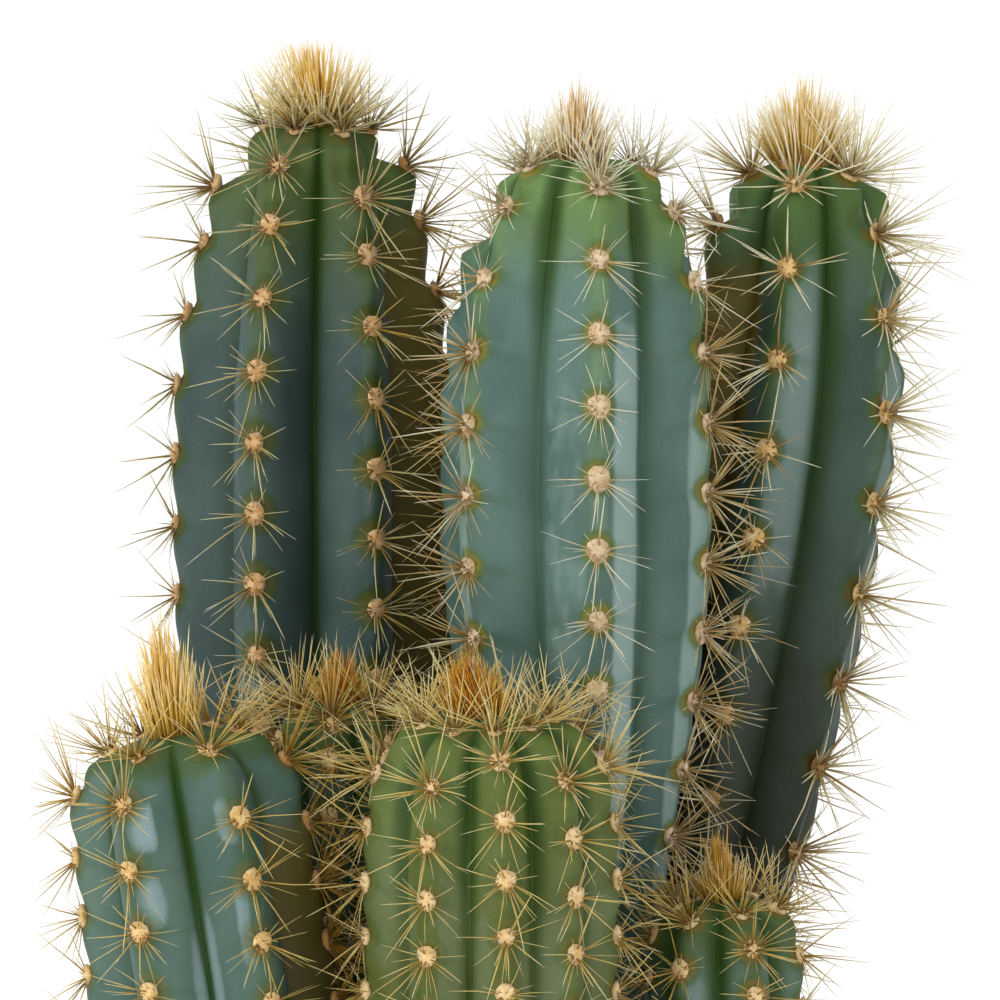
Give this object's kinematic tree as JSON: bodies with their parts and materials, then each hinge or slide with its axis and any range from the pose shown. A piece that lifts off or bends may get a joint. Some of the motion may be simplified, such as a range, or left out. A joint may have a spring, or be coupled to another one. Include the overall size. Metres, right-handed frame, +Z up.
{
  "type": "potted blue torch cactus",
  "caption": "Cluster of upright ribbed columnar cactus stems with spiny crowns, tall behind and short in front, growing in soil in a plain round tapered pot.",
  "frame": {"origin": "centre of the pot's round foot, on the surface that it stands on", "axes": "+Z up; -Y towards the front of the plant, where the short stems are; +X to the right seen from the front"},
  "size_m": [0.2175, 0.188, 0.4446],
  "materials": {
    "pot": "unglazed terracotta, matte",
    "soil": "loose dark potting soil, matte",
    "stem_tall_left": "waxy blue-green skin",
    "stem_tall_centre": "waxy blue-green skin",
    "stem_tall_right": "waxy blue-green skin",
    "stem_short_left": "waxy blue-green skin",
    "stem_short_centre": "waxy green skin",
    "stem_short_right": "waxy blue-green skin",
    "stem_short_back": "waxy green skin",
    "crown_tall_left": "golden wool and spines",
    "crown_tall_centre": "golden wool and spines",
    "crown_tall_right": "golden wool and spines",
    "crown_short_left": "golden wool and spines",
    "crown_short_centre": "orange-gold wool and spines",
    "crown_short_right": "golden wool and spines",
    "crown_short_back": "orange-gold wool and spines"
  },
  "bodies": {
    "root": {"pot": "pot", "soil": "soil", "stem_tall_left": "stem_tall_left", "stem_tall_centre": "stem_tall_centre", "stem_tall_right": "stem_tall_right", "stem_short_left": "stem_short_left", "stem_short_centre": "stem_short_centre", "stem_short_right": "stem_short_right", "stem_short_back": "stem_short_back", "crown_tall_left": "crown_tall_left", "crown_tall_centre": "crown_tall_centre", "crown_tall_right": "crown_tall_right", "crown_short_left": "crown_short_left", "crown_short_centre": "crown_short_centre", "crown_short_right": "crown_short_right", "crown_short_back": "crown_short_back"}
  },
  "joints": []
}
